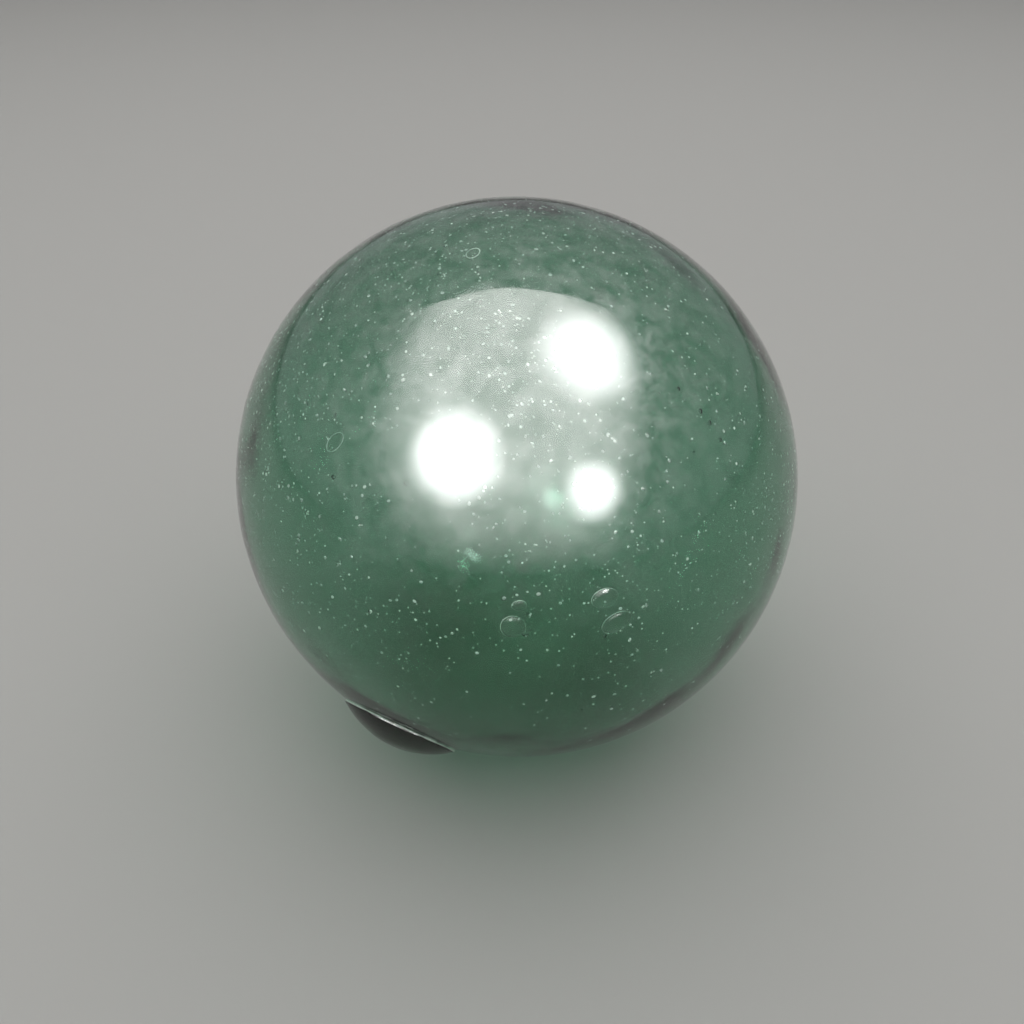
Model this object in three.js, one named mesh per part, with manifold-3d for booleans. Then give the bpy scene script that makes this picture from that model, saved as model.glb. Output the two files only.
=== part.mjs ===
// A hand-blown glass fishing float: a sealed ball of sea-green glass, closed by a button of glass that
// was melted on over its blow hole. Millimetres, +Z up, with +Y away from the side that faces front.
// The origin is the middle of the small flat spot that the ball stands on.

import * as THREE from "three";
import { mergeVertices } from "three/addons/utils/BufferGeometryUtils.js";
import Module from "manifold-3d";

const wasm = await Module();
wasm.setup();

// The ball. Blown by hand, it is a little short along the line it was blown on, and a little lopsided.
const BALL_DIAMETER = 305;
const BALL_SHORTFALL = 0.9;
const BALL_LOPSIDE = 0.5;
const BALL_DETAIL = 17;

// The flat spot under it keeps it from rolling, as the worn spot on a real float does.
const REST_SPOT_DIAMETER = 32;

// The seal button is a flattened gather of glass, round, domed, and standing proud on a rolled edge.
const SEAL_DIAMETER = 62;
const SEAL_RISE = 8.7;
const SEAL_EDGE_RISE = 1.8;
const SEAL_EDGE_ROUND = 0.9;
const SEAL_SIDES = 60;
const SEAL_DOME_STEPS = 8;
const SEAL_EDGE_STEPS = 4;
const SEAL_BED_STEPS = 3;

// It sits low on the front, so far below the middle of the ball and so far round towards -X.
const SEAL_BELOW_MIDDLE = THREE.MathUtils.degToRad(34.8);
const SEAL_ROUND_TO_LEFT = THREE.MathUtils.degToRad(29.9);

// The button is kept this far off the ball that it is melted to.
const FUSE_GAP = 0.3;

const GLASS_GREEN = 0x4c7261;
const SEAL_GREEN = 0x35523f;

const BALL_RADIUS = BALL_DIAMETER / 2;
const DOWN = new THREE.Vector3(0, 0, -1);
const SEAL_AXIS = new THREE.Vector3(
  -Math.cos(SEAL_BELOW_MIDDLE) * Math.sin(SEAL_ROUND_TO_LEFT),
  -Math.cos(SEAL_BELOW_MIDDLE) * Math.cos(SEAL_ROUND_TO_LEFT),
  -Math.sin(SEAL_BELOW_MIDDLE),
);
const LOPSIDE_AXIS = new THREE.Vector3(1, -1, 1).normalize();

// How far the ball's surface is from its middle in one direction, given as a unit vector.
function blownRadius(direction) {
  const alongSeal = direction.dot(SEAL_AXIS);
  const alongLopside = direction.dot(LOPSIDE_AXIS);
  return BALL_RADIUS - BALL_SHORTFALL * alongSeal ** 2 - BALL_LOPSIDE * (1 + alongLopside ** 3) / 2;
}

// The middle of the ball is at the height where the plane of the flat spot cuts a circle of its size.
const CENTRE_HEIGHT = Math.sqrt(blownRadius(DOWN) ** 2 - (REST_SPOT_DIAMETER / 2) ** 2);

function glass(color) {
  return new THREE.MeshStandardMaterial({
    color,
    roughness: 0.06,
    metalness: 0,
    transparent: true,
    opacity: 0.55,
  });
}

// A geometry with shared corners and nothing but positions, as a solid that can be cut.
function toSolid(geometry) {
  const bare = geometry.clone();
  bare.deleteAttribute("normal");
  bare.deleteAttribute("uv");
  const merged = mergeVertices(bare);
  return new wasm.Manifold(new wasm.Mesh({
    numProp: 3,
    vertProperties: new Float32Array(merged.attributes.position.array),
    triVerts: new Uint32Array(merged.index.array),
  }));
}

function toGeometry(solid) {
  const { vertProperties, triVerts } = solid.getMesh();
  const geometry = new THREE.BufferGeometry();
  geometry.setAttribute("position", new THREE.BufferAttribute(vertProperties, 3));
  geometry.setIndex(new THREE.BufferAttribute(triVerts, 1));
  geometry.computeVertexNormals();
  return geometry;
}

// An even ball of facets, each corner moved out to the blown radius in its own direction.
function blownBall() {
  const geometry = new THREE.IcosahedronGeometry(1, BALL_DETAIL);
  const corners = geometry.attributes.position;
  const corner = new THREE.Vector3();
  for (let i = 0; i < corners.count; i += 1) {
    corner.fromBufferAttribute(corners, i).normalize();
    corner.multiplyScalar(blownRadius(corner));
    corners.setXYZ(i, corner.x, corner.y, corner.z);
  }
  return geometry;
}

function floatBall() {
  const slab = new THREE.BoxGeometry(BALL_DIAMETER, BALL_DIAMETER, BALL_RADIUS);
  slab.translate(0, 0, -CENTRE_HEIGHT - BALL_RADIUS / 2);
  const ball = toSolid(blownBall()).subtract(toSolid(slab));
  const mesh = new THREE.Mesh(toGeometry(ball), glass(GLASS_GREEN));
  mesh.name = "float_ball";
  return mesh;
}

// The button's half section, turned about its axis: out along the bed that fits the ball, up and round
// the rolled edge, and back over the dome. x is out from the axis, y is out from the ball's middle.
function sealSection() {
  const surface = blownRadius(SEAL_AXIS);
  const bed = surface + FUSE_GAP;
  const rim = SEAL_DIAMETER / 2;
  const roll = new THREE.Vector2(rim - SEAL_EDGE_ROUND, 0);
  roll.y = Math.sqrt(surface ** 2 - roll.x ** 2) + SEAL_EDGE_RISE - SEAL_EDGE_ROUND;
  const top = surface + SEAL_RISE;

  // The dome is part of a ball that passes through the top and rests on the rolled edge.
  const drop = top - roll.y;
  const domeRadius = (drop ** 2 + roll.x ** 2 - SEAL_EDGE_ROUND ** 2) / (2 * (drop - SEAL_EDGE_ROUND));
  const domeMiddle = top - domeRadius;
  const domeReach = Math.atan2(roll.x, roll.y - domeMiddle);
  const bedReach = Math.asin((rim - SEAL_EDGE_ROUND) / bed);

  const points = [];
  for (let i = 0; i <= SEAL_BED_STEPS; i += 1) {
    const angle = (bedReach * i) / SEAL_BED_STEPS;
    points.push(new THREE.Vector2(bed * Math.sin(angle), bed * Math.cos(angle)));
  }
  for (let i = 0; i <= SEAL_EDGE_STEPS; i += 1) {
    const angle = THREE.MathUtils.lerp(Math.PI / 2, domeReach, i / SEAL_EDGE_STEPS);
    points.push(new THREE.Vector2(
      roll.x + SEAL_EDGE_ROUND * Math.sin(angle),
      roll.y + SEAL_EDGE_ROUND * Math.cos(angle),
    ));
  }
  for (let i = SEAL_DOME_STEPS - 1; i >= 0; i -= 1) {
    const angle = (domeReach * i) / SEAL_DOME_STEPS;
    points.push(new THREE.Vector2(
      domeRadius * Math.sin(angle),
      domeMiddle + domeRadius * Math.cos(angle),
    ));
  }
  points[0].x = 0;
  points.at(-1).x = 0;
  return points;
}

function sealButton() {
  const mesh = new THREE.Mesh(new THREE.LatheGeometry(sealSection(), SEAL_SIDES), glass(SEAL_GREEN));
  mesh.name = "seal_button";
  mesh.quaternion.setFromUnitVectors(new THREE.Vector3(0, 1, 0), SEAL_AXIS);
  return mesh;
}

const float = new THREE.Group();
float.position.z = CENTRE_HEIGHT;
float.add(floatBall());
float.add(sealButton());

export default float;
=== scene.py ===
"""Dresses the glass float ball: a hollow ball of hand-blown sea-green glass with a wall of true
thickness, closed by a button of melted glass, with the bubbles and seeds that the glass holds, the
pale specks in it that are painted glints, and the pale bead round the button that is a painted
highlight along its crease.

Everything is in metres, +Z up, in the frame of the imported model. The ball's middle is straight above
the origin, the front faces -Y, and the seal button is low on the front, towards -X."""

from collections import namedtuple

import bpy
import numpy as np
from bpy.props import FloatProperty, FloatVectorProperty, IntProperty, PointerProperty
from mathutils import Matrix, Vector


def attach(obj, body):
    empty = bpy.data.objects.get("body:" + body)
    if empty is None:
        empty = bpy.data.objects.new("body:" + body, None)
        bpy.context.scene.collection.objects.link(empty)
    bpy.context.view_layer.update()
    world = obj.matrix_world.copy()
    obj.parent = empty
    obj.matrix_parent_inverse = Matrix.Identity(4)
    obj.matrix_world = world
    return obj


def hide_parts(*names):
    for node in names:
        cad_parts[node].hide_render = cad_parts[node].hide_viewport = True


bl_info = {
    "name": "Glass Float Ball",
    "version": (1, 0, 0),
    "blender": (4, 5, 0),
    "location": "3D View > Sidebar > Glass Float",
    "description": "Builds a hand-blown glass fishing float with its wall, seal button and bubbles",
    "category": "Add Mesh",
}

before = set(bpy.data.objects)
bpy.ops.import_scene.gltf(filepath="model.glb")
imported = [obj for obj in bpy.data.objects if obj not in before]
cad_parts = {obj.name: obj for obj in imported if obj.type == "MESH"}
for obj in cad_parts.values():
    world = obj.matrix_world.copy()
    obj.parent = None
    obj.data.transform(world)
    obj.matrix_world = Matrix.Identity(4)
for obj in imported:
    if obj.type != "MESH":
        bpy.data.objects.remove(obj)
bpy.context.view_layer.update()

MM = 0.001


# ---------------------------------------------------------------------------------------------
# Settings
# ---------------------------------------------------------------------------------------------


def length(name, description, millimetres):
    """A length setting, given in millimetres and kept in metres."""
    return FloatProperty(
        name=name, description=description, default=millimetres * MM, min=0.0,
        subtype="DISTANCE", unit="LENGTH", precision=5,
    )


def angle(name, description, degrees):
    """An angle setting, given in degrees and kept in radians."""
    return FloatProperty(
        name=name, description=description, default=np.radians(degrees),
        subtype="ANGLE", unit="ROTATION",
    )


def colour(name, description, rgb):
    """A colour setting in linear light."""
    return FloatVectorProperty(
        name=name, description=description, default=rgb, size=3, min=0.0, max=1.0, subtype="COLOR",
    )


def number(name, description, default, low=0.0, high=1000.0):
    """A plain number setting."""
    return FloatProperty(name=name, description=description, default=default, min=low, max=high)


class BallSettings(bpy.types.PropertyGroup):
    """Sizes of the blown ball and of the button that seals it."""

    diameter: length("Diameter", "Nominal width of the ball", 305)
    shortfall: length("Shortfall", "How much shorter the ball is along the line it was blown on", 0.9)
    lopside: length("Lopside", "How far the ball falls short on its one full side", 0.5)
    rest_spot: length("Rest spot", "Width of the flat spot that the ball stands on", 32)
    wall: length("Wall", "Thickness of the glass", 4.8)
    seal_diameter: length("Seal diameter", "Width of the button over its rolled edge", 62)
    seal_rise: length("Seal rise", "How far the top of the button stands out of the ball", 8.7)
    seal_edge_rise: length("Seal edge rise", "How far the rolled edge stands out of the ball", 1.8)
    seal_edge_round: length("Seal edge round", "Radius of the rolled edge", 0.9)
    seal_below_middle: angle("Seal below middle", "How far the button is below the ball's middle", 34.8)
    seal_round_to_left: angle("Seal round to left", "How far the button is round from the front", 29.9)


class GlassSettings(bpy.types.PropertyGroup):
    """Colour and finish of the glass."""

    ior: number("Index", "Index of refraction of the glass", 1.51, 1.0, 2.0)
    depth_colour: colour("Depth colour", "Colour that light keeps as it goes through", (0.25, 0.60, 0.45))
    depth_density: number("Depth density", "How strongly the glass colours light for each metre", 182.0)
    clear_tint: colour("Clear tint", "Tint of the clean glass at its surface", (0.90, 0.97, 0.93))
    cloud_tint: colour("Cloud tint", "Tint where the glass is a little milky", (0.80, 0.92, 0.86))
    shadow_tint: colour("Shadow tint", "Light that one surface lets into the shadow", (0.985, 1.0, 0.99))
    rim_shadow_tint: colour("Rim shadow tint", "The same, where the glass is edge on", (0.74, 0.80, 0.76))
    # Painted highlights: the pale specks in the glass and the pale lines round the bubble rims take these
    # tones, standing in for glints of light.
    glint_white: colour("Grain white", "The palest grains in the glass", (0.37, 0.44, 0.39))
    glint_dull: colour("Grain green", "The dullest grains in the glass", (0.15, 0.23, 0.19))
    # Painted highlight: the pale tone of the bead in the crease, which stands in for the light caught along
    # the button's rolled edge.
    lime: colour("Lime", "The pale lime that has dried in the crease", (0.34, 0.40, 0.35))


class BubbleSettings(bpy.types.PropertyGroup):
    """The air that was caught in the glass, and the pale specks that are painted glints."""

    seeds: IntProperty(name="Seeds", description="Number of tiny bubbles", default=80, min=0)
    seed_width: length("Seed width", "Middling width of a tiny bubble", 0.75)
    # The pale specks, coarse and fine, are painted glints that stand in for light caught by tiny seeds.
    grains: IntProperty(name="Grains", description="Number of pale grains", default=2000, min=0)
    grain_width: length("Grain width", "Middling width of a pale grain", 1.05)
    fine_glints: IntProperty(name="Fine grains", description="Number of fine grains", default=5200, min=0)
    fine_grain_width: length("Fine grain width", "Middling width of a fine grain", 0.66)
    random: IntProperty(name="Random", description="Starting number for the draws", default=7)


class StageSettings(bpy.types.PropertyGroup):
    """The floor, the lights and the camera."""

    floor: colour("Floor", "Colour of the floor", (0.186, 0.184, 0.176))
    world: colour("Surroundings", "Colour of the room all round", (0.33, 0.335, 0.34))
    fill_glow: number("Fill glow", "Brightness of the light that falls on the floor", 3.2)
    panel_glow: number("Panel glow", "Brightness of the broad panel that the glass reflects", 7.2)
    deep_glow: number("Deep glow", "Brightness of the part of it that is seen inside the glass", 2.6)
    panel_colour: colour("Panel colour", "Colour of that panel", (1.0, 0.97, 0.96))
    lamp_glow: number("Lamp glow", "Brightness of the round lamps that it reflects", 24.0)
    core_glow: number("Core glow", "Brightness of the small bulb in the middle of each lamp", 50.0)
    core_colour: colour("Core colour", "Colour of that bulb", (1.0, 0.64, 0.78))
    elevation: angle("Elevation", "Height of the camera above the ball's middle", 35.17)
    pitch: angle("Pitch", "How far down the camera points", 37.0)
    distance: length("Distance", "From the camera to the ball's middle", 575)
    lens: number("Lens", "Focal length in millimetres on a 36 mm frame", 36.04)


# ---------------------------------------------------------------------------------------------
# Shape of the ball and the seal, as whole arrays
# ---------------------------------------------------------------------------------------------


def unit(vectors):
    """Each vector divided by its own length."""
    return vectors / np.linalg.norm(vectors, axis=-1, keepdims=True)


def towards(above_middle, round_to_right):
    """Unit vector from the ball's middle, by degrees above its middle and round from the front to +X."""
    up, turn = np.radians(above_middle), np.radians(round_to_right)
    return np.array([np.cos(up) * np.sin(turn), -np.cos(up) * np.cos(turn), np.sin(up)])


def seal_axis(ball):
    """Unit vector from the ball's middle out through the middle of the seal button."""
    return towards(-np.degrees(ball.seal_below_middle), -np.degrees(ball.seal_round_to_left))


# A large bubble: degrees above the ball's middle and round from the front to +X, length and width in
# millimetres, degrees that its length turns up from level, how far the skin over it swells out, and how
# thick the pale line round its rim is, which is a painted highlight. One with a thick rim burst while the
# glass was soft, and is empty.
Bubble = namedtuple("Bubble", "above round length width turn swell rim")

LARGE_BUBBLES = (
    Bubble(10.5, -0.5, 10.8, 10.8, 0, 0.70, 0.20),
    Bubble(9.0, 1.5, 3.0, 2.8, 0, 0, 0),
    Bubble(14.5, 0.5, 6.4, 4.6, 10, 0.35, 0.20),
    Bubble(9.5, 17, 14.2, 9.2, 22, 0.80, 0.24),
    Bubble(7, 15, 1.8, 1.8, 0, 0, 0),
    Bubble(14.5, 15, 12, 9, 8, 0.75, 0.24),
    Bubble(75.5, -31.5, 5.6, 7.4, 0, 0.22, 0.54),
    Bubble(35, -39.5, 10.5, 6.4, 60, 0.3, 0.42),
    Bubble(29.5, -37.5, 2.3, 2.0, 0, 0, 0),
    Bubble(32.5, -21.5, 2.2, 1.9, 0, 0, 0),
    Bubble(44.5, 41, 1.9, 1.5, 60, 0, 0),
    Bubble(39.5, 44, 2.3, 1.8, 60, 0, 0),
    Bubble(37, 45, 2.4, 1.7, 60, 0, 0),
    Bubble(33.5, 46, 1.9, 1.4, 60, 0, 0),
    Bubble(-14, 112, 12.5, 8.0, 15, 0.4, 0),
    Bubble(22, 158, 9.0, 7.5, 70, 0.4, 0.2),
    Bubble(20, 154, 3.2, 2.8, 0, 0, 0),
    Bubble(-31, -128, 13.5, 9.5, 30, 0.4, 0.16),
    Bubble(48, -142, 6.0, 4.2, 45, 0, 0),
)


# The grains are few under this height above the ball's middle, as a share of its radius.
LOW_GRAINS = 0.12

# A bubble with a rim thicker than this, in millimetres, has burst.
BURST_RIM = 0.3


def square_to(axis):
    """Two unit vectors square to the axis and to each other, so that they and the axis are right-handed."""
    first = unit(np.cross([0.0, 0.0, 1.0], axis))
    return first, np.cross(axis, first)


def blown_radius(ball, directions):
    """Distance from the middle to the ideal surface: the radius, less the shortfall times the squared
    cosine to the seal's axis, less the lopside that fades with the cubed cosine to one corner."""
    along_seal = directions @ seal_axis(ball)
    along_lopside = directions @ unit(np.array([1.0, -1.0, 1.0]))
    lopside = ball.lopside * (1 + along_lopside**3) / 2
    return ball.diameter / 2 - ball.shortfall * along_seal**2 - lopside


def bubble_ways(bubble):
    """Unit vectors of a bubble: out through its middle, along its length and along its width."""
    out = towards(bubble.above, bubble.round)
    level = unit(np.cross([0.0, 0.0, 1.0], out))
    upward = np.cross(out, level)
    turn = np.radians(bubble.turn)
    long_way = np.cos(turn) * level + np.sin(turn) * upward
    return out, long_way, np.cross(out, long_way)


def swelling(ball, directions):
    """How far the skin stands out over the large bubbles: for each, its swell times the square of one
    less the fifth power of the distance from its middle, that being 1 at the bubble's edge."""
    total = np.zeros(directions.shape[:-1])
    for bubble in LARGE_BUBBLES:
        out, long_way, wide_way = bubble_ways(bubble)
        reach = ball.diameter / MM / 1.04
        along, across = directions @ long_way / bubble.length, directions @ wide_way / bubble.width
        apart = (reach**2 * (along**2 + across**2)) ** 2.5
        near = (directions @ out > 0) & (apart < 1)
        total += np.where(near, bubble.swell * MM * (1 - np.minimum(apart, 1)) ** 2, 0.0)
    return total


def crowded(low, high, count, places, spread, crowd):
    """Values from low to high that lie closer together near the places: an even density, plus a bell
    curve at each place, is summed along the range, and the values cut that sum into equal shares."""
    fine = np.linspace(low, high, 6001)
    bells = np.exp(-(((fine[:, None] - np.asarray(places)) / spread) ** 2)).sum(axis=1)
    density = 1 + crowd * bells
    total = np.concatenate([[0.0], np.cumsum((density[1:] + density[:-1]) / 2)])
    return np.interp(np.linspace(0, total[-1], count), total, fine)


def ball_middle(ball):
    """The ball's middle: the rest spot's plane cuts a circle of the spot's width at the origin's height."""
    under = blown_radius(ball, np.array([0.0, 0.0, -1.0]))
    return np.array([0.0, 0.0, np.sqrt(under**2 - (ball.rest_spot / 2) ** 2)])


def ripple(points, size, waves=9, seed=1):
    """A smooth uneven value between about -1 and 1 at each point: the mean of several plane cosine
    waves, each in its own drawn direction, of wavelengths near the size given."""
    draw = np.random.default_rng(seed)
    run = unit(draw.normal(size=(waves, 3)))
    rate = 2 * np.pi / (size * draw.uniform(0.7, 1.5, waves))
    phase = draw.uniform(0, 2 * np.pi, waves)
    return np.cos(points @ (run * rate[:, None]).T + phase).sum(axis=-1) / np.sqrt(waves)


def stand_on_floor(points, softness=0.12 * MM):
    """Points under the plane of the rest spot are lifted to it, with a soft shoulder round the spot."""
    height = points[..., 2]
    lifted = softness * np.logaddexp(0.0, height / softness)
    return np.concatenate([points[..., :2], lifted[..., None]], axis=-1)


def seal_section(ball, dome_rows=18, roll_rows=14):
    """Half section of the button, from its top to the crease, as distance out from the axis and height
    above the ball. The dome is a circle that ends tangent to the small circle of the rolled edge, which
    runs on round and under until it comes down to the ball."""
    surface = blown_radius(ball, seal_axis(ball))
    round_ = ball.seal_edge_round
    roll_x = ball.seal_diameter / 2 - round_
    roll_y = np.sqrt(surface**2 - roll_x**2) + ball.seal_edge_rise - round_
    top = surface + ball.seal_rise
    drop = top - roll_y
    dome_radius = (drop**2 + roll_x**2 - round_**2) / (2 * (drop - round_))
    dome_middle = top - dome_radius
    reach = np.arctan2(roll_x, roll_y - dome_middle)
    over = np.linspace(0, reach, dome_rows)[1:]
    under = np.linspace(reach, np.radians(172), roll_rows)[1:]
    out = np.concatenate([dome_radius * np.sin(over), roll_x + round_ * np.sin(under)])
    up = np.concatenate([dome_middle + dome_radius * np.cos(over), roll_y + round_ * np.cos(under)])
    return out, up - np.sqrt(surface**2 - out**2)


def seal_rows(ball, turn):
    """Rows of points over the button. The section is carried round the axis; it is a little wider and
    narrower as it goes, and the dome has the shallow twist left from when the gather was cut off."""
    out, height = (a[:, None] for a in seal_section(ball))
    lobes = 0.014 * np.cos(2 * turn + 0.6) + 0.008 * np.cos(3 * turn - 1.1) + 0.004 * np.cos(7 * turn)
    inward = 1 - out / (ball.seal_diameter / 2)
    twist = 0.22 * MM * np.sin(2 * turn + out / (2.6 * MM)) * np.clip(inward, 0, 1) * (out / out.max())
    out_here = out * (1 + lobes * (out / out.max()) ** 2)
    surface = blown_radius(ball, seal_axis(ball))
    along = np.sqrt(surface**2 - out_here**2) + height + twist
    return out_here, along


def outer_surface(ball, sides=320, rows=176):
    """The whole outside of the glass as rows of points from the top of the button to the far side of
    the ball: the button's rows, then the ball from the crease on, by the angle from the seal's axis and
    the turn about it. Both crowd by the crease and where the skin swells over a large bubble. The ball
    is a little uneven, always inwards. The first and last points close the two ends."""
    uneven_by = 0.06 * MM
    axis = seal_axis(ball)
    side, other = square_to(axis)
    swells = np.array([bubble_ways(bubble)[0] for bubble in LARGE_BUBBLES if bubble.swell])
    swell_turns = np.arctan2(swells @ other, swells @ side) % (2 * np.pi)
    swell_leans = np.arccos(swells @ axis)
    turn = crowded(0, 2 * np.pi, sides + 1, swell_turns, spread=0.05, crowd=9)[:-1]
    middle = ball_middle(ball)

    out, along = seal_rows(ball, turn)
    around = np.cos(turn)[:, None] * side + np.sin(turn)[:, None] * other
    button = along[..., None] * axis + out[..., None] * around

    crease = np.arctan2(out[-1], along[-1])
    places = (np.array([crease[0], *swell_leans]) - crease[0]) / (np.pi - crease[0])
    lean = crowded(0, 1, rows + 1, places, spread=0.017, crowd=8)
    lean = crease + (np.pi - crease) * lean[1:-1, None]
    directions = np.cos(lean)[..., None] * axis + np.sin(lean)[..., None] * around
    uneven = uneven_by * (1 + ripple(directions * 0.15, 0.045, seed=3))
    shell = directions * (blown_radius(ball, directions) - uneven + swelling(ball, directions))[..., None]

    grid = middle + np.concatenate([button, shell])
    near_end = axis * (blown_radius(ball, axis) + ball.seal_rise)
    far_end = -axis * (blown_radius(ball, -axis) - uneven_by)
    ends = np.stack([near_end, far_end]) + middle
    return stand_on_floor(grid), stand_on_floor(ends[0]), stand_on_floor(ends[1])


def haze(ball, points):
    """How hazy each point of the skin is: 1 over the ball and less over the button, whose glass was the
    last to be worked, with a smooth step between them at its edge."""
    button_haze, step = 0.25, np.radians(0.4)
    away = np.arccos(np.clip(unit(points - ball_middle(ball)) @ seal_axis(ball), -1, 1))
    edge = np.arcsin(ball.seal_diameter / ball.diameter)
    return button_haze + (1 - button_haze) / (1 + np.exp(-(away - edge) / step))


def wall_thickness(ball, directions):
    """Thickness of the glass: the wall, uneven by a tenth or so over a hand's breadth, with the plug of
    the melted-on button swelling inwards behind the seal."""
    away = np.arccos(np.clip(directions @ seal_axis(ball), -1, 1))
    plug = 2.6 * MM * np.exp(-((away / np.radians(7.5)) ** 2))
    uneven = 0.10 * ripple(directions * 0.15, 0.11, seed=5) + 0.03 * ripple(directions * 0.15, 0.035, seed=6)
    return ball.wall * (1 + uneven) + plug


def inner_surface(ball, sides=150, rows=78):
    """The inside of the wall, a grid of directions by angle from the seal's axis and turn about it, each
    point the wall's thickness in from the ideal surface. The two ends are on the axis."""
    axis = seal_axis(ball)
    side, other = square_to(axis)
    turn = np.linspace(0, 2 * np.pi, sides, endpoint=False)
    lean = np.linspace(0, np.pi, rows + 1)[1:-1, None]
    around = np.cos(turn)[:, None] * side + np.sin(turn)[:, None] * other
    directions = np.cos(lean)[..., None] * axis + np.sin(lean)[..., None] * around

    def inside(towards_):
        return towards_ * (blown_radius(ball, towards_) - wall_thickness(ball, towards_))[..., None]

    middle = ball_middle(ball)
    return inside(directions) + middle, inside(axis[None])[0] + middle, inside(-axis[None])[0] + middle


# ---------------------------------------------------------------------------------------------
# Bubbles
# ---------------------------------------------------------------------------------------------


def blister(ball, bubble, sides=28, rows=14):
    """The air of one large bubble, a grid of two angles: its length and width run along the wall, and a
    section through it is a superellipse of power 2.6, so that its top is flat and its sides are round.
    It is thin: it fills a seventh of the wall under a swell, and a quarter of it elsewhere."""
    out, long_way, wide_way = bubble_ways(bubble)
    wall = wall_thickness(ball, out)
    depth_share, height_share = (0.40, 0.07) if bubble.swell else (0.50, 0.12)
    half_height = min(0.5 * min(bubble.length, bubble.width) * MM, height_share * wall)
    power = 2 / 2.6
    around = np.linspace(0, 2 * np.pi, sides, endpoint=False)
    lean = np.linspace(0, np.pi, rows + 1)[1:-1, None]

    def shape(lean_, around_):
        spread = np.abs(np.sin(lean_)) ** power
        along = 0.5 * bubble.length * MM * spread * np.cos(around_)
        across = 0.5 * bubble.width * MM * spread * np.sin(around_)
        rise = half_height * np.sign(np.cos(lean_)) * np.abs(np.cos(lean_)) ** power
        distance = blown_radius(ball, out) - depth_share * wall + rise * np.ones_like(around_)
        ways = out + (along[..., None] * long_way + across[..., None] * wide_way) / distance[..., None]
        return unit(ways) * distance[..., None] + ball_middle(ball)

    ends = shape(np.array([0.0, np.pi]), np.zeros(2))
    return shape(lean, around), ends[0], ends[1]


def drifts(ball, count, width, spread, seed):
    """Directions and widths of small things, drawn at random: evenly over the ball, then kept more often
    where a slow ripple is high, so that they lie in drifts, and less often low down. None is on the
    button or on the rest spot."""
    fewest, step, button_edge, spot_edge = 0.12, 0.08, np.radians(13), -0.99
    draw = np.random.default_rng(seed)
    directions = unit(draw.normal(size=(8 * count, 3)))
    height = directions[:, 2]
    drift = 0.5 + 0.5 * ripple(directions * 0.15, 0.12, seed=11)
    share = fewest + (1 - fewest) / (1 + np.exp(-(height - LOW_GRAINS) / step))
    clear = (directions @ seal_axis(ball) < np.cos(button_edge)) & (height > spot_edge)
    kept = draw.uniform(size=len(directions)) < (0.30 + 0.70 * drift) * share
    directions = directions[clear & kept][:count]
    return directions, width * draw.lognormal(0.0, spread, len(directions)), draw


def small_balls(ball, directions, width, height, distance, spin, stretch, sides, rows):
    """A small stretched ball at each direction: one grid of two angles, scaled by each one's width and
    height, drawn out along the wall by its stretch and spun about the direction. Shape: balls, rows,
    sides, 3."""
    level = unit(np.cross(directions, [0.0, 0.0, 1.0]))
    upward = np.cross(level, directions)
    long_way = np.cos(spin)[:, None] * level + np.sin(spin)[:, None] * upward
    wide_way = np.cross(directions, long_way)
    place = ball_middle(ball) + directions * distance[:, None]

    def shape(lean, around):
        out = np.sin(lean) * np.cos(around), np.sin(lean) * np.sin(around), np.cos(lean) + 0 * around
        sizes = width, width, height
        along, across, lift = (0.5 * size[:, None, None] * a for size, a in zip(sizes, out))
        return (
            place[:, None, None]
            + (along * stretch[:, None, None])[..., None] * long_way[:, None, None]
            + across[..., None] * wide_way[:, None, None]
            + lift[..., None] * directions[:, None, None]
        )

    around = np.linspace(0, 2 * np.pi, sides, endpoint=False)[None]
    lean = np.linspace(0, np.pi, rows + 1)[1:-1, None]
    ends = shape(np.array([[0.0], [np.pi]]), np.zeros((1, 1)))[:, :, 0]
    return shape(lean, around), ends[:, 0], ends[:, 1]


def seed_balls(ball, bubbles):
    """The seeds: tiny bubbles of air, a little drawn out, anywhere in the thickness of the wall."""
    directions, width, draw = drifts(ball, bubbles.seeds, bubbles.seed_width, 0.40, bubbles.random)
    width = np.clip(width, 0.35 * MM, 2.0 * MM)
    count = len(directions)
    depth = draw.uniform(0.2, 0.8, count) * (wall_thickness(ball, directions) - 0.3 * MM - width)
    distance = blown_radius(ball, directions) - 0.15 * MM - depth - width / 2
    spin, stretch = draw.uniform(0, np.pi, count), draw.uniform(1.0, 1.7, count)
    return small_balls(ball, directions, width, width, distance, spin, stretch, sides=8, rows=5)


def glint_balls(ball, count, middling, spread, seed, sides, rows):
    """The pale specks just under the skin of the glass, painted glints that stand in for light caught
    by tiny seeds. Each is about a third as thick as it is wide."""
    directions, width, draw = drifts(ball, count, middling, spread, seed)
    width = np.clip(width, 0.16 * MM, 1.7 * MM)
    count = len(directions)
    under = (0.16 + 0.4 * draw.uniform(size=count) ** 2) * MM
    height = 0.35 * width
    distance = blown_radius(ball, directions) - under - height / 2
    spin, stretch = draw.uniform(0, np.pi, count), draw.uniform(1.0, 1.35, count)
    return small_balls(ball, directions, width, height, distance, spin, stretch, sides, rows)


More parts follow.
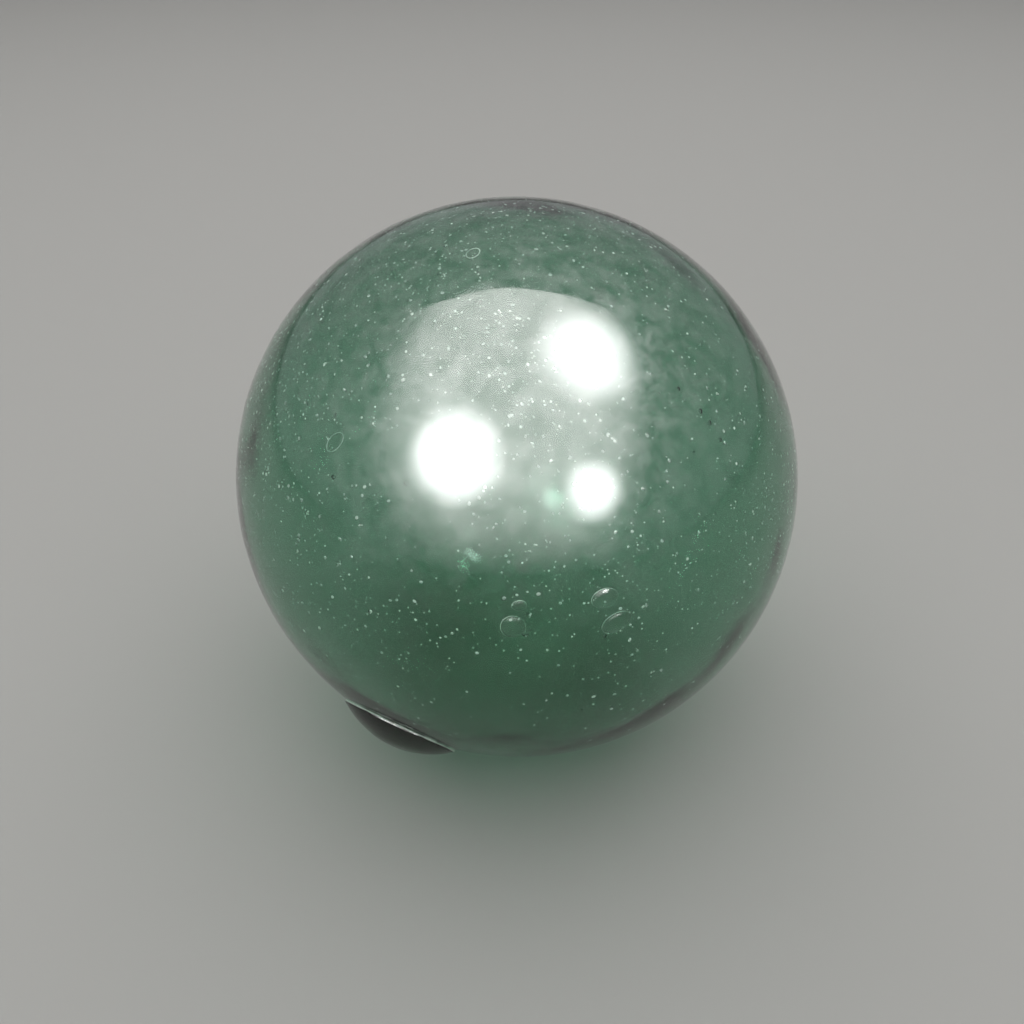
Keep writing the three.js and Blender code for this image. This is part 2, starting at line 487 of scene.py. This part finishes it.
def rim_highlight_bead(ball, bubble, sides=72, round_=6):
    """The painted highlight round a bubble's rim: a pale ring just under the skin on a grid of two angles.
    It follows the bubble's ellipse, and is broad over the top, where the light comes from, and fine below,
    but even round a burst one. The radius of its section waxes and wanes besides, so that the line is
    broken."""
    out, long_way, wide_way = bubble_ways(bubble)
    turn = np.linspace(0, 2 * np.pi, sides, endpoint=False)
    outward = np.cos(turn)[:, None] * long_way + np.sin(turn)[:, None] * wide_way
    rough = ripple(outward * 0.5 * bubble.length * MM, 0.006, seed=31)
    # Painted highlight: the line is broader on the side that faces up towards the light.
    over = 0.5 + 0.5 * outward @ unit(np.array([-0.5, 0.0, 1.0]))
    broad = 1.0 if bubble.rim > BURST_RIM else 0.15 + 1.15 * over**1.5
    thick = (0.5 * bubble.rim * MM * (1 + 0.4 * rough) * broad)[:, None, None]
    around = np.linspace(0, 2 * np.pi, round_, endpoint=False)[None, :, None]
    half = 0.5 * MM * np.array([bubble.length, bubble.width])
    across = half[0] * np.cos(turn)[:, None] * long_way + half[1] * np.sin(turn)[:, None] * wide_way
    reach = blown_radius(ball, out) - 0.5 * MM
    ways = unit(out + (across[:, None] + thick * np.cos(around) * outward[:, None]) / reach)
    return ball_middle(ball) + ways * (reach + thick * np.sin(around))


def crease_highlight_bead(ball, sides=420, round_=8):
    """The painted highlight in the crease: a pale ring round the button on a grid of two angles, which
    stands in for the light caught along the rolled edge. Its section is a small circle whose radius
    waxes and wanes along the ring, so that the line is broken and lumpy."""
    axis = seal_axis(ball)
    side, other = square_to(axis)
    turn = np.linspace(0, 2 * np.pi, sides, endpoint=False)
    out, along = seal_rows(ball, turn)
    outward = np.cos(turn)[:, None] * side + np.sin(turn)[:, None] * other
    rough = ripple(outward * 0.031, 0.013, seed=21) + 0.6 * ripple(outward * 0.031, 0.004, seed=22)
    thick = ball.seal_edge_round * (0.36 + 0.17 * rough)[:, None]
    edge, rise = out.max(axis=0)[:, None], along[-1][:, None] + 0.35 * ball.seal_edge_round
    section = np.linspace(0, 2 * np.pi, round_, endpoint=False)
    reach = edge + 0.05 * MM + thick * np.cos(section)
    height = rise + thick * np.sin(section)
    return ball_middle(ball) + reach[..., None] * outward[:, None] + height[..., None] * axis


# ---------------------------------------------------------------------------------------------
# Meshes
# ---------------------------------------------------------------------------------------------


def closed_faces(rows, sides, inward=False):
    """Faces of a grid of rows by sides that closes on itself round each row, with one point before the
    first row and one after the last. Numbered: first point, last point, then the rows in turn. The faces
    point away from the axis, or towards it for a hollow."""
    index = 2 + np.arange(rows * sides).reshape(rows, sides)
    onward = np.roll(index, -1, axis=1)
    quads = np.stack([index[:-1], index[1:], onward[1:], onward[:-1]], axis=-1).reshape(-1, 4)
    first = np.stack([np.zeros(sides, int), index[0], onward[0]], axis=-1)
    last = np.stack([np.ones(sides, int), onward[-1], index[-1]], axis=-1)
    if inward:
        quads, first, last = quads[:, ::-1], first[:, ::-1], last[:, ::-1]
    return quads, np.concatenate([first, last])


def closed_part(grid, start, end, inward=False):
    """Points and faces of one closed surface, from its rows of points and its two end points."""
    rows, sides = grid.shape[:2]
    points = np.concatenate([start[None], end[None], grid.reshape(-1, 3)])
    return points, *closed_faces(rows, sides, inward)


def ring_faces(sides, round_):
    """Faces of a grid that closes on itself both ways, such as a ring, pointing out of its section."""
    index = np.arange(sides * round_).reshape(sides, round_)
    onward, over = np.roll(index, -1, axis=0), np.roll(index, -1, axis=1)
    quads = np.stack([index, onward, np.roll(onward, -1, axis=1), over], axis=-1).reshape(-1, 4)
    return quads, np.zeros((0, 3), int)


def many_closed_parts(grids, starts, ends, inward=False):
    """Points and faces of many closed surfaces that share one grid."""
    count, rows, sides = grids.shape[:3]
    quads, triangles = closed_faces(rows, sides, inward)
    points = np.concatenate([starts[:, None], ends[:, None], grids.reshape(count, -1, 3)], axis=1)
    step = (np.arange(count) * points.shape[1])[:, None, None]
    return points.reshape(-1, 3), (quads + step).reshape(-1, 4), (triangles + step).reshape(-1, 3)


def mesh_from(name, parts):
    """One smooth mesh object from a list of (points, quads, triangles)."""
    points, faces, start = [], [], 0
    for part_points, quads, triangles in parts:
        points.append(part_points)
        faces += (quads + start).tolist() + (triangles + start).tolist()
        start += len(part_points)
    mesh = bpy.data.meshes.new(name)
    mesh.from_pydata(np.concatenate(points), [], faces)
    mesh.polygons.foreach_set("use_smooth", np.ones(len(mesh.polygons), bool))
    mesh.update()
    piece = bpy.data.objects.new(name, mesh)
    bpy.context.scene.collection.objects.link(piece)
    return piece


# ---------------------------------------------------------------------------------------------
# Materials
# ---------------------------------------------------------------------------------------------


class Nodes:
    """A short way to add shader nodes and join them."""

    def __init__(self, name):
        self.material = bpy.data.materials.new(name)
        self.material.use_nodes = True
        self.tree = self.material.node_tree
        self.tree.nodes.clear()

    def add(self, kind, plain=None, links=None, **settings):
        node = self.tree.nodes.new(kind)
        for key, value in settings.items():
            setattr(node, key, value)
        for key, value in (plain or {}).items():
            node.inputs[key].default_value = value
        for key, socket in (links or {}).items():
            self.tree.links.new(socket, node.inputs[key])
        return node


def sea_glass_material(glass):
    """Clear sea-green glass. Its depth of colour is plain absorption in the volume. The surface has a
    faint cloudy tint, a soft unevenness, light scuffs, and a thin patchy film of dust that is thicker on
    top. Shadow rays pass tinted, darker at the rim."""
    hollow_roughness = 0.06
    n = Nodes("sea_green_glass")
    place = n.add("ShaderNodeTexCoord").outputs["Object"]

    clouds = n.add("ShaderNodeTexNoise", {"Scale": 16.0, "Detail": 4.0, "Roughness": 0.6}, {"Vector": place})
    cloud_share = n.add(
        "ShaderNodeMapRange", {"From Min": 0.42, "From Max": 0.72}, {"Value": clouds.outputs["Fac"]},
    )
    tint = n.add(
        "ShaderNodeMix", {"A": (*glass.clear_tint, 1), "B": (*glass.cloud_tint, 1)},
        {"Factor": cloud_share.outputs["Result"]}, data_type="RGBA",
    )

    skin = n.add("ShaderNodeAttribute", attribute_name="skin").outputs["Fac"]
    hollow = n.add("ShaderNodeAttribute", attribute_name="hollow").outputs["Fac"]
    scuffs = n.add("ShaderNodeTexNoise", {"Scale": 90.0, "Detail": 6.0, "Roughness": 0.7}, {"Vector": place})
    scuffed = n.add(
        "ShaderNodeMapRange",
        {"From Min": 0.45, "From Max": 0.80, "To Min": 0.05, "To Max": 0.20},
        {"Value": scuffs.outputs["Fac"]},
    )
    dulled = n.add(
        "ShaderNodeMath", links={0: scuffed.outputs["Result"], 1: skin}, operation="MULTIPLY",
    )
    roughness = n.add(
        "ShaderNodeMath", {1: hollow_roughness}, {0: hollow, 2: dulled.outputs[0]},
        operation="MULTIPLY_ADD",
    )
    smears = n.add(
        "ShaderNodeTexNoise", {"Scale": 95.0, "Detail": 6.0, "Roughness": 0.74, "Distortion": 0.25},
        {"Vector": place},
    )
    smeared = n.add(
        "ShaderNodeMapRange",
        {"From Min": 0.40, "From Max": 0.74, "To Min": 0.04, "To Max": 0.70},
        {"Value": smears.outputs["Fac"]},
    )
    height = n.add("ShaderNodeSeparateXYZ", links={"Vector": place}).outputs["Z"]
    settled = n.add(
        "ShaderNodeMapRange",
        {"From Min": 0.16, "From Max": 0.29, "To Min": 0.40, "To Max": 1.40},
        {"Value": height}, interpolation_type="SMOOTHSTEP",
    )
    dusty = n.add(
        "ShaderNodeMath", links={0: settled.outputs["Result"], 1: skin}, operation="MULTIPLY",
    )
    film = n.add(
        "ShaderNodeMath", links={0: smeared.outputs["Result"], 1: dusty.outputs[0]},
        operation="MULTIPLY",
    )

    waves = n.add("ShaderNodeTexNoise", {"Scale": 38.0, "Detail": 2.0}, {"Vector": place})
    bump = n.add(
        "ShaderNodeBump", {"Strength": 0.35, "Distance": 0.0004}, {"Height": waves.outputs["Fac"]},
    )

    body = n.add(
        "ShaderNodeBsdfPrincipled",
        {"IOR": glass.ior, "Transmission Weight": 1.0, "Coat Roughness": 0.50, "Coat IOR": 1.5},
        {"Base Color": tint.outputs["Result"], "Roughness": roughness.outputs[0],
         "Coat Weight": film.outputs[0], "Normal": bump.outputs["Normal"]},
    )
    rim = n.add("ShaderNodeLayerWeight", {"Blend": 0.35})
    shade = n.add(
        "ShaderNodeMix", {"A": (*glass.shadow_tint, 1), "B": (*glass.rim_shadow_tint, 1)},
        {"Factor": rim.outputs["Facing"]}, data_type="RGBA",
    )
    passing = n.add("ShaderNodeBsdfTransparent", links={"Color": shade.outputs["Result"]})
    light_path = n.add("ShaderNodeLightPath")
    surface = n.add("ShaderNodeMixShader", links={0: light_path.outputs["Is Shadow Ray"]})
    n.tree.links.new(body.outputs[0], surface.inputs[1])
    n.tree.links.new(passing.outputs[0], surface.inputs[2])
    depth = n.add(
        "ShaderNodeVolumeAbsorption", {"Color": (*glass.depth_colour, 1), "Density": glass.depth_density},
    )
    output = n.add("ShaderNodeOutputMaterial")
    n.tree.links.new(surface.outputs[0], output.inputs["Surface"])
    n.tree.links.new(depth.outputs[0], output.inputs["Volume"])
    return n.material


def painted_highlight_material(glass):
    """Painted glints: pale specks, some near white and some dull green, each with its own tone."""
    n = Nodes("pale_painted_highlight")
    place = n.add("ShaderNodeTexCoord").outputs["Object"]
    tones = n.add("ShaderNodeTexNoise", {"Scale": 120.0, "Detail": 2.0}, {"Vector": place})
    share = n.add("ShaderNodeMapRange", {"From Min": 0.45, "From Max": 0.66}, {"Value": tones.outputs["Fac"]})
    tone = n.add(
        "ShaderNodeMix", {"A": (*glass.glint_dull, 1), "B": (*glass.glint_white, 1)},
        {"Factor": share.outputs["Result"]}, data_type="RGBA",
    )
    specks = n.add("ShaderNodeTexNoise", {"Scale": 3000.0, "Detail": 2.0}, {"Vector": place})
    bump = n.add(
        "ShaderNodeBump", {"Strength": 0.3, "Distance": 0.00005}, {"Height": specks.outputs["Fac"]},
    )
    body = n.add(
        "ShaderNodeBsdfPrincipled", {"Roughness": 0.45},
        {"Base Color": tone.outputs["Result"], "Normal": bump.outputs["Normal"]},
    )
    output = n.add("ShaderNodeOutputMaterial")
    n.tree.links.new(body.outputs[0], output.inputs["Surface"])
    return n.material


def crease_highlight_material(glass):
    """Painted highlight for the crease: a pale, dull, crumbly tone, darker in its pits where the bump is low.
    """
    n = Nodes("crease_highlight_paint")
    place = n.add("ShaderNodeTexCoord").outputs["Object"]
    crumbs = n.add(
        "ShaderNodeTexNoise", {"Scale": 900.0, "Detail": 5.0, "Roughness": 0.7}, {"Vector": place},
    )
    pits = n.add("ShaderNodeMapRange", {"From Min": 0.36, "From Max": 0.60}, {"Value": crumbs.outputs["Fac"]})
    pit_tone = tuple(0.45 * share for share in glass.lime)
    tone = n.add(
        "ShaderNodeMix", {"A": (*pit_tone, 1), "B": (*glass.lime, 1)},
        {"Factor": pits.outputs["Result"]}, data_type="RGBA",
    )
    bump = n.add(
        "ShaderNodeBump", {"Strength": 0.8, "Distance": 0.0002}, {"Height": crumbs.outputs["Fac"]},
    )
    body = n.add(
        "ShaderNodeBsdfPrincipled", {"Roughness": 0.85},
        {"Base Color": tone.outputs["Result"], "Normal": bump.outputs["Normal"]},
    )
    output = n.add("ShaderNodeOutputMaterial")
    n.tree.links.new(body.outputs[0], output.inputs["Surface"])
    return n.material


def floor_material(stage):
    """A plain pale matt floor."""
    n = Nodes("plain_floor")
    body = n.add(
        "ShaderNodeBsdfPrincipled",
        {"Base Color": (*stage.floor, 1), "Roughness": 1.0, "Specular IOR Level": 0.0},
    )
    output = n.add("ShaderNodeOutputMaterial")
    n.tree.links.new(body.outputs[0], output.inputs["Surface"])
    return n.material


# ---------------------------------------------------------------------------------------------
# Operators
# ---------------------------------------------------------------------------------------------


class GLASSFLOAT_OT_glass(bpy.types.Operator):
    """Blow the ball and press on its seal button: the outside, the hollow inside and the bubbles"""

    bl_idname = "glassfloat.glass"
    bl_label = "Glass and Bubbles"

    def execute(self, context):
        ball, bubbles = context.scene.glassfloat_ball, context.scene.glassfloat_bubbles
        skin = closed_part(*outer_surface(ball))
        hollow = closed_part(*inner_surface(ball), inward=True)
        parts = [skin, hollow]
        airy = [bubble for bubble in LARGE_BUBBLES if bubble.rim <= BURST_RIM]
        parts += [closed_part(*blister(ball, bubble), inward=True) for bubble in airy]
        parts.append(many_closed_parts(*seed_balls(ball, bubbles), inward=True))
        piece = mesh_from("glass_float", parts)
        start = 0
        for name, part in (("skin", skin), ("hollow", hollow)):
            share = np.zeros(len(piece.data.vertices), np.float32)
            share[start : start + len(part[0])] = haze(ball, part[0]) if name == "skin" else 1.0
            piece.data.attributes.new(name, "FLOAT", "POINT").data.foreach_set("value", share)
            start += len(part[0])
        piece.data.materials.append(sea_glass_material(context.scene.glassfloat_glass))
        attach(piece, "root")
        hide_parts("float_ball", "seal_button")
        return {"FINISHED"}


class GLASSFLOAT_OT_grains(bpy.types.Operator):
    """Scatter the pale specks through the skin of the glass, which are painted glints, and draw the painted
    highlights round the rims of the bubbles
    """

    bl_idname = "glassfloat.grains"
    bl_label = "Pale Grains"

    def execute(self, context):
        ball, bubbles = context.scene.glassfloat_ball, context.scene.glassfloat_bubbles
        material = painted_highlight_material(context.scene.glassfloat_glass)
        coarse = dict(
            count=bubbles.grains, middling=bubbles.grain_width, spread=0.40,
            seed=bubbles.random + 1, sides=7, rows=4,
        )
        fine = dict(
            count=bubbles.fine_glints, middling=bubbles.fine_grain_width, spread=0.35,
            seed=bubbles.random + 2, sides=5, rows=3,
        )
        # The rims are painted highlights, in the same pale tones as the specks.
        rim_highlights = [rim_highlight_bead(ball, bubble) for bubble in LARGE_BUBBLES if bubble.rim]
        rim_highlights = [(rim.reshape(-1, 3), *ring_faces(*rim.shape[:2])) for rim in rim_highlights]
        for name, kind, others in (("pale_glints", coarse, rim_highlights), ("fine_glints", fine, [])):
            piece = mesh_from(name, [many_closed_parts(*glint_balls(ball, **kind)), *others])
            piece.data.materials.append(material)
            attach(piece, "root")
        return {"FINISHED"}


class GLASSFLOAT_OT_crease_highlight(bpy.types.Operator):
    """Lay the pale bead round the seal button, a painted highlight along its crease"""

    bl_idname = "glassfloat.lime"
    # This step lays a pale bead that is a painted highlight along the crease.
    bl_label = "Lime in the Crease"

    def execute(self, context):
        bead = crease_highlight_bead(context.scene.glassfloat_ball)
        piece = mesh_from("painted_crease_highlight", [(bead.reshape(-1, 3), *ring_faces(*bead.shape[:2]))])
        piece.data.materials.append(crease_highlight_material(context.scene.glassfloat_glass))
        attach(piece, "root")
        return {"FINISHED"}


# A round lamp that the glass reflects: degrees above the ball's middle and round from the front to +X,
# width in metres, and the share of its half width that is at full brightness.
Lamp = namedtuple("Lamp", "name above round width full")

ROUND_LAMPS = (
    Lamp("left_lamp", 40, -28, 1.25, 0.42),
    Lamp("right_lamp", 66, 75, 1.35, 0.05),
    Lamp("low_lamp", 27, 31, 0.80, 0.25),
)
LAMP_DISTANCE = 1.7
BULB_DISTANCE = 1.65
BULB_SHARE = 0.2
BULB_FULL = 0.4


def soft_light(name, aim, reach, width, depth, glow, tint=(1.0, 1.0, 1.0)):
    """A soft rectangular light that looks at the aim from the given offset. Its glow is its brightness
    seen straight on, so its power is the glow times its area times pi."""
    data = bpy.data.lights.new(name, "AREA")
    data.shape = "RECTANGLE"
    data.size, data.size_y = width, depth
    data.energy = glow * width * depth * np.pi
    data.color = tint
    lamp = bpy.data.objects.new(name, data)
    lamp.location = Vector(aim) + Vector(reach)
    lamp.rotation_euler = Vector(reach).to_track_quat("Z", "Y").to_euler()
    bpy.context.scene.collection.objects.link(lamp)
    return lamp


def light_nodes(lamp):
    """Empties a light's shader, adds an emission to it and gives the tree, the emission's strength and
    where on the light a point is, each way from 0 to 1."""
    lamp.data.use_nodes = True
    tree = lamp.data.node_tree
    tree.nodes.clear()
    emission = tree.nodes.new("ShaderNodeEmission")
    output = tree.nodes.new("ShaderNodeOutputLight")
    tree.links.new(emission.outputs[0], output.inputs["Surface"])
    return tree, emission.inputs["Strength"], tree.nodes.new("ShaderNodeTexCoord").outputs["UV"]


def fade(tree, value, dark, bright):
    """A smooth step from 0 where the value is dark to 1 where it is bright."""
    step = tree.nodes.new("ShaderNodeMapRange")
    step.interpolation_type = "SMOOTHSTEP"
    step.inputs["From Min"].default_value, step.inputs["From Max"].default_value = dark, bright
    tree.links.new(value, step.inputs["Value"])
    return step.outputs["Result"]


def fade_edges(lamp, left, right, low):
    """Fades a broad light out towards its left, right and low edges, over these shares of its width."""
    tree, strength, place = light_nodes(lamp)
    split = tree.nodes.new("ShaderNodeSeparateXYZ")
    tree.links.new(place, split.inputs[0])
    product = fade(tree, split.outputs["Y"], 0.0, low)
    for edge, full in ((0.0, left), (1.0, 1.0 - right)):
        times = tree.nodes.new("ShaderNodeMath")
        times.operation = "MULTIPLY"
        tree.links.new(product, times.inputs[0])
        tree.links.new(fade(tree, split.outputs["X"], edge, full), times.inputs[1])
        product = times.outputs[0]
    tree.links.new(product, strength)


def fade_round(lamp, full):
    """Fades a light out from its middle in a round, from this share of its half width to its edge."""
    tree, strength, place = light_nodes(lamp)
    away = tree.nodes.new("ShaderNodeVectorMath")
    away.operation = "DISTANCE"
    away.inputs[1].default_value = (0.5, 0.5, 0.0)
    tree.links.new(place, away.inputs[0])
    tree.links.new(fade(tree, away.outputs["Value"], 0.5, 0.5 * full), strength)


class GLASSFLOAT_OT_stage(bpy.types.Operator):
    """Lay the floor, hang the lights and set the camera"""

    bl_idname = "glassfloat.stage"
    bl_label = "Stage"

    def execute(self, context):
        scene = context.scene
        ball, stage = scene.glassfloat_ball, scene.glassfloat_stage
        middle = ball_middle(ball)

        floor_width, floor_drop, camera_turn = 16.0, 0.0003, np.radians(0.31)
        bpy.ops.mesh.primitive_plane_add(size=floor_width, location=(0, 0, -floor_drop))
        floor = context.active_object
        floor.name = "floor"
        floor.data.materials.append(floor_material(stage))

        world = bpy.data.worlds.new("plain_room")
        world.use_nodes = True
        world.node_tree.nodes["Background"].inputs["Color"].default_value = (*stage.world, 1)
        scene.world = world

        # The floor is lit from overhead by a broad light that the glass doesn't reflect.
        overhead = 0.0, 0.0, 2.3
        fill = soft_light("fill", middle, overhead, width=5.0, depth=5.0, glow=stage.fill_glow)
        fill.visible_glossy = fill.visible_transmission = False

        # What the glass reflects: a broad pale panel that leans over the ball from low in front to high
        # behind, and three round lamps that hang before it. Inside the glass only weaker ones are seen:
        # a dimmer panel, and the small bulb in the middle of each lamp.
        slope, width, depth, clearance = np.radians(38.0), 5.0, 5.6, 1.9
        upward = np.array([0.0, np.cos(slope), np.sin(slope)])
        panel_aim = middle + 0.25 * upward + np.array([-0.15, 0.0, 0.0])
        panel_reach = clearance * np.array([0.0, -np.sin(slope), np.cos(slope)])
        for name, glow in (("panel", stage.panel_glow), ("deep_panel", stage.deep_glow)):
            panel = soft_light(name, panel_aim, panel_reach, width, depth, glow, stage.panel_colour)
            fade_edges(panel, left=0.35, right=0.30, low=0.45)
            panel.visible_diffuse = False
            panel.visible_transmission = name == "deep_panel"
        for name, above, round_, size, full in ROUND_LAMPS:
            way = towards(above, round_)
            lamp = soft_light(name, middle, LAMP_DISTANCE * way, size, size, stage.lamp_glow)
            fade_round(lamp, full)
            lamp.visible_diffuse = lamp.visible_transmission = False
            bulb = BULB_SHARE * size
            reach = BULB_DISTANCE * way
            core = soft_light(
                name + "_core", middle, reach, bulb, bulb, stage.core_glow, stage.core_colour,
            )
            fade_round(core, BULB_FULL)
            core.visible_diffuse = False

        camera = bpy.data.objects.new("camera", bpy.data.cameras.new("camera"))
        camera.data.sensor_width = 36.0
        camera.data.lens = stage.lens
        camera.data.clip_start = 0.01
        back = stage.distance * towards(np.degrees(stage.elevation), 0)
        camera.location = Vector(middle + back)
        camera.rotation_euler = (np.pi / 2 - stage.pitch, 0.0, camera_turn)
        scene.collection.objects.link(camera)
        scene.camera = camera

        cycles = scene.cycles
        cycles.max_bounces = 10
        cycles.transmission_bounces = 10
        cycles.glossy_bounces = 4
        cycles.diffuse_bounces = 2
        cycles.transparent_max_bounces = 32
        cycles.sample_clamp_indirect = 8.0
        cycles.adaptive_threshold = 0.06
        cycles.caustics_reflective = False
        cycles.caustics_refractive = True
        scene.view_settings.view_transform = "Standard"
        return {"FINISHED"}


class GLASSFLOAT_PT_panel(bpy.types.Panel):
    """Lists the settings and the steps that build the float"""

    bl_label = "Glass Float"
    bl_idname = "GLASSFLOAT_PT_panel"
    bl_space_type = "VIEW_3D"
    bl_region_type = "UI"
    bl_category = "Glass Float"

    def draw(self, context):
        for group in GROUPS:
            settings = getattr(context.scene, group)
            box = self.layout.box()
            for key in type(settings).__annotations__:
                box.prop(settings, key)
        for step in STEPS:
            self.layout.operator(step.bl_idname)


GROUPS = {
    "glassfloat_ball": BallSettings,
    "glassfloat_glass": GlassSettings,
    "glassfloat_bubbles": BubbleSettings,
    "glassfloat_stage": StageSettings,
}
STEPS = (GLASSFLOAT_OT_glass, GLASSFLOAT_OT_grains, GLASSFLOAT_OT_crease_highlight, GLASSFLOAT_OT_stage)


def register():
    for cls in (*GROUPS.values(), *STEPS, GLASSFLOAT_PT_panel):
        bpy.utils.register_class(cls)
    for name, group in GROUPS.items():
        setattr(bpy.types.Scene, name, PointerProperty(type=group))


def unregister():
    for name in GROUPS:
        delattr(bpy.types.Scene, name)
    for cls in reversed((*GROUPS.values(), *STEPS, GLASSFLOAT_PT_panel)):
        bpy.utils.unregister_class(cls)


def main():
    register()
    bpy.ops.glassfloat.glass()
    bpy.ops.glassfloat.grains()
    bpy.ops.glassfloat.lime()
    bpy.ops.glassfloat.stage()


if __name__ == "__main__":
    main()
